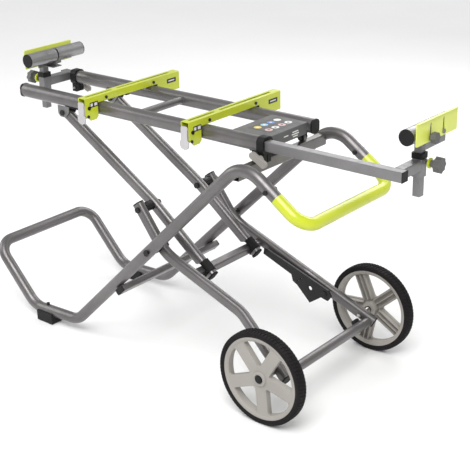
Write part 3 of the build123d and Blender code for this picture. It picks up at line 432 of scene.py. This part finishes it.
def rim(side, way, phase):
    """A spoked rim in place of the CAD rim; way points outwards and phase turns the spokes, in degrees."""
    body = f"{side}_wheel"
    low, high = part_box(f"{side}_rim")
    middle = mid(*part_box(f"{side}_tyre"))
    rim_r = (high.x - low.x) / 2
    outside = high.y if way > 0 else low.y

    def at_depth(depth):
        return Vector((middle.x, outside - way * depth, middle.z))

    start = math.radians(phase) - math.pi / 2
    spokes = [start + TURN * k / SPOKES for k in range(SPOKES)]
    edge = arc(Vector((0, 0)), rim_r, 0.0, TURN, RIM_STEPS)[:-1]
    place = Matrix.Translation(at_depth(FACE_HALF + FACE_INSET)) @ WHEEL_PLANE
    loops = [edge] + [window(angle) for angle in spokes]
    name = f"{side}_rim_face"
    face = cut_plate(name, loops, FACE_HALF, FACE_BEVEL, place, body, "rim_plastic")
    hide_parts(f"{side}_rim")
    well = [(rim_r - depth, across) for depth, across in WELL]
    verts, faces = lathe(middle, ALONG_Y, well, 120)
    piece(f"{side}_rim_well", verts, faces, body, "rim_plastic")
    verts, faces = lathe(at_depth(HUB_INSET), (0, way, 0), HUB, 64)
    piece(f"{side}_rim_hub", verts, faces, body, "rim_plastic")
    outline = rounded_outline(RIB_LONG, RIB_WIDE, RIB_CORNER, 3)
    inwards = Vector((0, -way, 0))
    for k, angle in enumerate(spokes):
        out = Vector((math.cos(angle), 0, math.sin(angle)))
        across = Vector((-math.sin(angle), 0, math.cos(angle)))
        for n, offset in enumerate(RIB_OFFSETS):
            centre = at_depth(RIB_INSET) + out * RIB_MIDDLE + across * offset
            verts, faces = slab(outline, centre, out, inwards.cross(out), RIB_DEEP)
            piece(f"{side}_spoke_{k}_rib_{n}", verts, faces, body, "rim_plastic")


rim("near", -1, 5.0)
rim("far", 1, -12.0)

# ---------------------------------------------------------------- rails
RAIL_CORNER = 0.0185
RAIL_WALL = 0.0022
CORNER_STEPS = 10


def rail(side):
    """An open rail tube with well rounded corners, in place of the CAD rail."""
    low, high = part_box(f"{side}_rail")
    middle = mid(low, high)
    wide = high.y - low.y
    tall = high.z - low.z
    outer = rounded_outline(wide, tall, RAIL_CORNER, CORNER_STEPS)
    inner = rounded_outline(wide - 2 * RAIL_WALL, tall - 2 * RAIL_WALL, RAIL_CORNER - RAIL_WALL, CORNER_STEPS)
    rings = ((low.x, outer), (high.x, outer), (high.x, inner), (low.x, inner))
    verts = [Vector((x, middle.y + a, middle.z + b)) for x, loop in rings for a, b in loop]
    faces = band_faces(len(rings), len(outer))
    made = piece(f"{side}_rail_tube", verts, faces, "rail_frame", "frame_paint")
    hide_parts(f"{side}_rail")


for side in ("near", "far"):
    rail(side)

# ---------------------------------------------------------------- labels and marks, plain shapes only
LIFT = 0.00025                          # a label's thickness
PRINT = 0.0001                          # the thickness of what is printed on it
CRISP = 0.00005                         # how far a label's edges are softened
FACING_X = ((0, 1, 0), (0, 0, 1))
FACING_UP = ((1, 0, 0), (0, 1, 0))


def mark(name, centre, facing, size, corner, body, look, thick=LIFT):
    """A rounded rectangle of a given (width, height) that lies on a surface."""
    verts, faces = slab(rounded_outline(*size, corner), centre, *facing, thick, CRISP)
    piece(name, verts, faces, body, look)


def bracket_labels(side):
    """The labels on a saw bracket's right side: one by its near end, one by its far end."""
    low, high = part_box(f"{side}_saw_bracket")
    body = f"{side}_bracket"
    on_label = Vector((LIFT, 0, 0))
    near = Vector((high.x, low.y + 0.0375, 0.8165))
    far = Vector((high.x, high.y - 0.040, 0.817))
    mark(f"{side}_label_near", near, FACING_X, (0.036, 0.017), 0.002, body, "label_black")
    for n, (shift, width) in enumerate(((-0.0100, 0.010), (0.0080, 0.013))):
        spot = near + on_label + Vector((0, shift, 0))
        name = f"{side}_label_near_panel_{n}"
        mark(name, spot, FACING_X, (width, 0.010), 0.0012, body, "label_white", PRINT)
    mark(f"{side}_label_far", far, FACING_X, (0.046, 0.015), 0.002, body, "label_black")
    spot = far + on_label
    mark(f"{side}_label_far_bar", spot, FACING_X, (0.030, 0.004), 0.0012, body, "label_white", PRINT)


# (place across the sticker, the dots' looks, the look of the pips on them)
DOT_ROWS = (
    (-0.021, ("dot_yellow", "dot_sky", "dot_blue", "label_white"), "label_white"),
    (0.021, ("dot_pink", "label_white", "dot_pink", "label_white"), "label_black"),
)
DOT_SPACING = 0.032
DOT_SIZE = (0.024, 0.024)
DOT_CORNER = 0.0119
PIP_SIZE = (0.009, 0.009)
PIP_CORNER = 0.0044
PIP_LIFT = 0.0003
LIP_BAR_TALL = 0.0035
# (place along the lip, drop, width)
LIP_BARS = ((0.034, 0.0, 0.030), (0.034, 0.007, 0.036), (0.034, 0.014, 0.024), (-0.012, 0.004, 0.022))


def tray_marks():
    """The sticker with two rows of round signs on the tray, and the bars on its lip."""
    body = "rail_frame"
    low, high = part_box("tool_tray")
    middle = mid(low, high)
    deck = Vector((middle.x + 0.002, middle.y + 0.012, high.z))
    mark("tray_sticker", deck, FACING_UP, (0.090, 0.138), 0.004, body, "label_black")
    for r, (across, dots, pip) in enumerate(DOT_ROWS):
        spots = [deck + Vector((across, DOT_SPACING * (c - 1.5), 0)) for c in range(len(dots))]
        for c, look in enumerate(dots):
            spot = spots[c] + Vector((0, 0, LIFT))
            mark(f"tray_dot_{r}_{c}", spot, FACING_UP, DOT_SIZE, DOT_CORNER, body, look, PRINT)
        for c, spot in enumerate(spots):
            spot = spot + Vector((0, 0, PIP_LIFT))
            mark(f"tray_pip_{r}_{c}", spot, FACING_UP, PIP_SIZE, PIP_CORNER, body, pip, PRINT)
    lip = Vector((high.x, middle.y, high.z - 0.014))
    for n, (along, drop, width) in enumerate(LIP_BARS):
        spot = lip + Vector((0, along, -drop))
        size = (width, LIP_BAR_TALL)
        mark(f"tray_lip_bar_{n}", spot, FACING_X, size, 0.0012, body, "label_white", PRINT)


for side in ("left", "right"):
    bracket_labels(side)
tray_marks()

# ---------------------------------------------------------------- rollers, knobs and levers
# (radius, place out from the seat) of the lime ring on a post knob, a painted reflection standing for the
# knob's bright highlight
PAINTED_REFLECTION_RING = ((0.0080, 0.0), (0.0125, 0.0), (0.0150, 0.0012), (0.0150, 0.0052), (0.0120, 0.0070),
          (0.0080, 0.0070))
PAINTED_REFLECTION_RING_SEAT = 0.018                     # from the knob's inner end
LEVER_PIN = (-0.181, 0.808)             # (y, z)
GRIP_TOP = 0.7845
NECK_TOP = 0.8290
NECK_HALF = 0.0128
GRIP_ROUND = 0.014                      # height of the grip's rounded bottom
GRIP_CUT = 0.003                        # the grip's cut top corners
NECK_CUT = 0.004
NECK_STEP = 0.001
# (inset, depth behind the tab's front) of the tab's rings, front to back
TAB_RINGS = ((0.0012, 0.0), (0.0, 0.0010), (0.0, 0.0040), (0.0012, 0.0050))
TAB_SEAT = 0.0004                       # from the CAD lever's front to the tab's
TAB_BOW = 0.0022
BOW_SHARE = 0.4
CAM_FRONT = 0.0030                      # from the CAD lever's front to the cam's
# (out from the pin, above it) of the cam's rounded back, from below to above
CAM_BACK = ((0.0040, -0.0100), (0.0075, -0.0070), (0.0090, -0.0020), (0.0075, 0.0060), (0.0030, 0.0100))
CAM_BOTTOM = -0.0220


def roller_dishes(side):
    """The dished faces of a roller's end caps; the left roller's near one is light grey as a painted
    highlight, the others black.
    """
    low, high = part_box(f"{side}_roller_tube")
    caps_low, caps_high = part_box(f"{side}_roller_caps")
    middle = mid(low, high)
    radius = (high.x - low.x) / 2
    dish = ((0.004, -0.0035), (0.004, -0.0020), (0.0135, -0.0016), (0.0150, -0.0002),
            (radius - 0.0035, -0.0001), (radius - 0.0020, -0.0012), (radius - 0.0016, -0.0060))
    for tag, way, end in (("near", -1, caps_low.y), ("far", 1, caps_high.y)):
        verts, faces = lathe(Vector((middle.x, end, middle.z)), (0, way, 0), dish, 48)
        # painted highlight: the left roller's near dish, on the lit side, is grey rim plastic; the other
        # dishes are black
        look = "rim_plastic" if (side, tag) == ("left", "near") else "black_plastic"
        piece(f"{side}_roller_{tag}_dish", verts, faces, f"{side}_roller", look)


def knob_painted_reflection(side):
    """A lime ring round a post knob's neck: a painted reflection standing for the knob's bright highlight."""
    low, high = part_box(f"{side}_post_knob")
    middle = mid(low, high)
    way = 1 if side == "right" else -1
    base = low.x if side == "right" else high.x
    seat = Vector((base + way * PAINTED_REFLECTION_RING_SEAT, middle.y, middle.z))
    verts, faces = lathe(seat, (way, 0, 0), PAINTED_REFLECTION_RING, 40)
    # painted reflection: a lime ring in place of the bright highlight on the knob
    piece(f"{side}_post_knob_painted_reflection", verts, faces, f"{side}_post_knob", "lime_paint")


def lever_outline(half, bottom):
    """A lever tab's outline: a rounded grip, and a narrower neck above it."""
    points = []
    for i in range(13):
        angle = math.pi + math.pi * i / 12
        points.append((half * math.cos(angle), bottom + GRIP_ROUND * (1 + math.sin(angle))))
    flank = [(half, GRIP_TOP - GRIP_CUT), (half - GRIP_CUT, GRIP_TOP), (NECK_HALF, GRIP_TOP + NECK_STEP),
             (NECK_HALF, NECK_TOP - NECK_CUT), (NECK_HALF - NECK_CUT, NECK_TOP)]
    return points + flank + [(-a, b) for a, b in reversed(flank)]


def clamp_lever(side):
    """A pressed lever, bowed tab and cam, in place of the CAD lever."""
    body = f"{side}_bracket_lever"
    low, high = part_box(f"{side}_bracket_lever")
    middle = mid(low, high)
    half = (high.x - low.x) / 2
    outline = lever_outline(half, low.z)
    verts = []
    for inset, depth in TAB_RINGS:
        for a, b in outline:
            height = (b - low.z) / (NECK_TOP - low.z)
            bow = TAB_BOW * math.sin(math.pi * min(1.0, 1.6 * height))
            y = low.y + TAB_SEAT + depth + (TAB_BOW - bow) * BOW_SHARE
            verts.append(Vector((middle.x + a * (1 - inset / half), y, b)))
    rings = len(TAB_RINGS)
    faces = band_faces(rings, len(outline), closed=False) + cap_faces(rings, len(outline))
    tab = piece(f"{side}_lever_tab", verts, faces, body, "lever_paint")
    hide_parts(f"{side}_bracket_lever")
    pin = Vector((middle.x - NECK_HALF, *LEVER_PIN))
    front = low.y + CAM_FRONT - pin.y
    cam = [(front, CAM_BOTTOM), *CAM_BACK, (front, CAM_BACK[-1][1])]
    verts, faces = slab(cam, pin, *FACING_X, 2 * NECK_HALF)
    piece(f"{side}_lever_cam", verts, faces, body, "lever_paint")


for side in ("left", "right"):
    roller_dishes(side)
    knob_painted_reflection(side)
    clamp_lever(side)

# ---------------------------------------------------------------- weld beads of the rails' cross tube
BEAD_STEPS = 72
BEAD_SIDES = 8
BEAD_RIPPLE = 0.18
BEAD_WAVES = 26
BEAD_THICK = 0.0022
BEAD_SINK = 0.001


def weld_bead(name, centre, radius, body):
    """A rippled ring about an axis along Y."""
    axis, first, second = basis(ALONG_Y)
    verts = []
    for i in range(BEAD_STEPS):
        angle = TURN * i / BEAD_STEPS
        out = first * math.cos(angle) + second * math.sin(angle)
        size = BEAD_THICK * (1 + BEAD_RIPPLE * math.sin(BEAD_WAVES * angle))
        for k in range(BEAD_SIDES):
            turn = TURN * k / BEAD_SIDES
            verts.append(centre + out * (radius + size * math.cos(turn)) + axis * (size * math.sin(turn)))
    piece(name, verts, band_faces(BEAD_STEPS, BEAD_SIDES), body, "frame_paint")


tie_low, tie_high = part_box("rail_cross_tube")
tie = mid(tie_low, tie_high)
for tag, end in (("near", tie_low.y + BEAD_SINK), ("far", tie_high.y - BEAD_SINK)):
    weld_bead(f"tie_weld_{tag}", Vector((tie.x, end, tie.z)), (tie_high.x - tie_low.x) / 2, "rail_frame")

# ---------------------------------------------------------------- floor, light and camera
FLOOR_HALF = 30.0
FLOOR_TONES = ((0.86, 0.86, 0.86), (0.90, 0.90, 0.90))
FLOOR_ROUGH = 0.85
WORLD_STRENGTH = 0.55
SUN_STRENGTH = 1.3
SUN_SPREAD = math.radians(35)
SUN_LEAN = (math.radians(24), math.radians(14), 0.0)
# name: (place, target, (width, height), power)
SOFT_LIGHTS = {
    "key": ((1.6, -2.6, 3.2), (0.0, 0.0, 0.4), (2.4, 1.6), 70),
    "fill": ((-3.2, -1.4, 1.9), (0.0, 0.0, 0.5), (2.0, 2.0), 30),
    "back": ((-0.6, 3.2, 2.6), (0.0, 0.0, 0.5), (3.0, 1.2), 45),
}
CAMERA_AT = Vector((2.25705, -2.5789, 1.8063))
CAMERA_TO = Vector((0.12305, -0.0193, 0.4311))
CAMERA_ROLL = math.radians(-1.16)
CAMERA_LENS = 86.7
CAMERA_SENSOR = 36.0


def studio_floor():
    """A plain pale floor."""
    corners = [(a * FLOOR_HALF, b * FLOOR_HALF, 0) for a, b in ((-1, -1), (1, -1), (1, 1), (-1, 1))]
    mesh = bpy.data.meshes.new("floor")
    mesh.from_pydata(corners, [], [(0, 1, 2, 3)])
    floor = bpy.data.objects.new("floor", mesh)
    bpy.context.scene.collection.objects.link(floor)
    g = Graph("floor_paper")
    spot = g.add("ShaderNodeTexCoord").outputs["Object"]
    dark, light = FLOOR_TONES
    g.link(g.mix(g.noise(spot, 2.0), rgba(dark), rgba(light)), "Base Color")
    g.shader.inputs["Roughness"].default_value = FLOOR_ROUGH
    mesh.materials.append(g.mat)


def soft_light(name, place, target, size, power):
    """A rectangular light that points at a target."""
    data = bpy.data.lights.new(name, "AREA")
    data.shape = "RECTANGLE"
    data.size, data.size_y = size
    data.energy = power
    lamp = bpy.data.objects.new(name, data)
    bpy.context.scene.collection.objects.link(lamp)
    lamp.location = place
    lamp.rotation_euler = (Vector(target) - Vector(place)).to_track_quat("-Z", "Y").to_euler()


def studio_light():
    """A white world, a wide high sun and three soft lights."""
    world = bpy.data.worlds.new("studio")
    bpy.context.scene.world = world
    world.use_nodes = True
    background = world.node_tree.nodes["Background"]
    background.inputs["Color"].default_value = (1.0, 1.0, 1.0, 1.0)
    background.inputs["Strength"].default_value = WORLD_STRENGTH
    sun = bpy.data.objects.new("high_sun", bpy.data.lights.new("high_sun", "SUN"))
    sun.data.energy = SUN_STRENGTH
    sun.data.angle = SUN_SPREAD
    sun.rotation_euler = SUN_LEAN
    bpy.context.scene.collection.objects.link(sun)
    for name, settings in SOFT_LIGHTS.items():
        soft_light(name, *settings)


def studio_camera():
    """The camera, rolled a little about its line of sight."""
    camera = bpy.data.objects.new("camera", bpy.data.cameras.new("camera"))
    bpy.context.scene.collection.objects.link(camera)
    camera.data.lens = CAMERA_LENS
    camera.data.sensor_width = CAMERA_SENSOR
    forward = (CAMERA_TO - CAMERA_AT).normalized()
    level_right = forward.cross(Vector((0, 0, 1))).normalized()
    level_up = level_right.cross(forward)
    right = level_right * math.cos(CAMERA_ROLL) + level_up * math.sin(CAMERA_ROLL)
    up = level_up * math.cos(CAMERA_ROLL) - level_right * math.sin(CAMERA_ROLL)
    turn = Matrix((right, up, -forward)).transposed()
    camera.matrix_world = Matrix.Translation(CAMERA_AT) @ turn.to_4x4()
    bpy.context.scene.camera = camera
    bpy.context.scene.view_settings.view_transform = "Standard"


studio_floor()
studio_light()
studio_camera()

bpy.context.view_layer.update()
